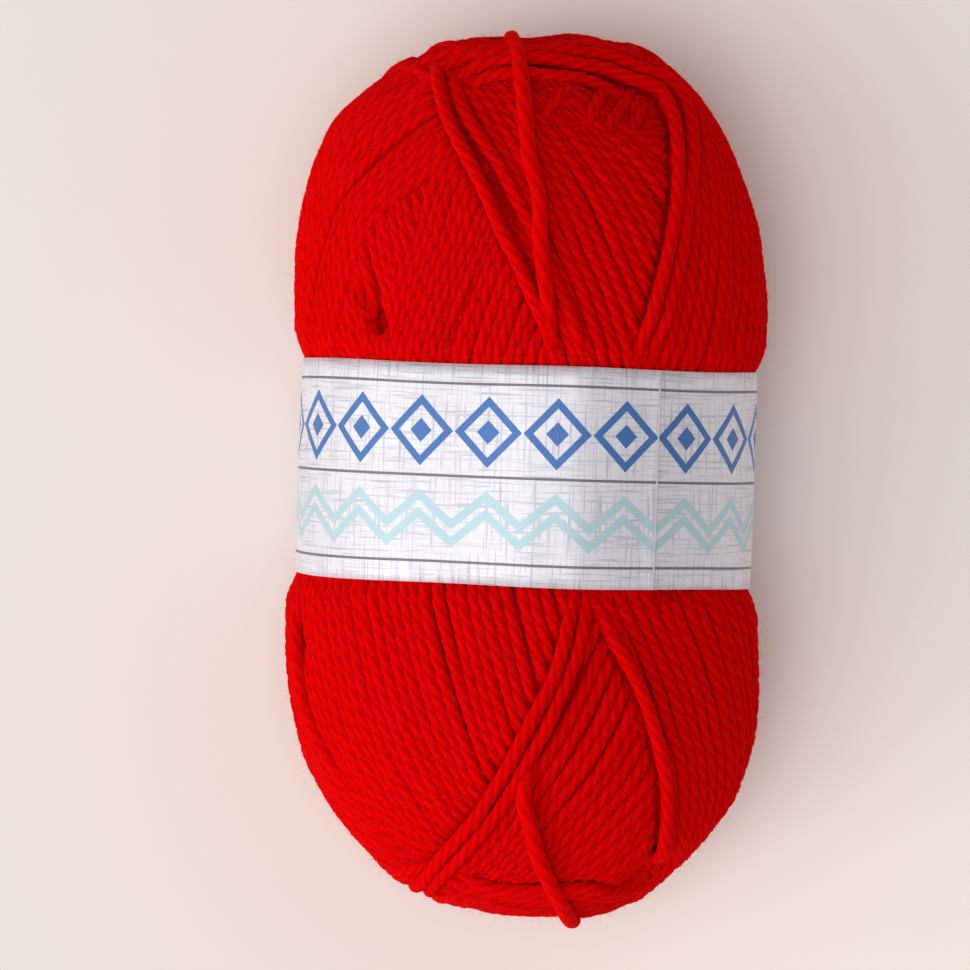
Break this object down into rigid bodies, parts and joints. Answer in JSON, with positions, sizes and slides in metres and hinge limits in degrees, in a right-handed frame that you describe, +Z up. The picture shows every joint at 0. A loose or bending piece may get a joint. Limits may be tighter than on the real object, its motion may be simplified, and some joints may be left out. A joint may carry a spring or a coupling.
{
  "type": "ball of yarn",
  "caption": "Oblong wound ball of thick smooth yarn, lying on its side, with crossing turns and a wide paper ball band lapped round its waist.",
  "frame": {"origin": "on the surface that the ball rests on, under the middle of the ball", "axes": "+Y along the ball's long axis, +X across it, +Z up; the band's lap and the newest turns face +Z"},
  "size_m": [0.0814, 0.1505, 0.072],
  "materials": {
    "yarn": "matte twisted acrylic yarn",
    "paper": "satin coated paper"
  },
  "bodies": {
    "root": {"wound_yarn": "yarn", "ball_band": "paper"}
  },
  "joints": []
}
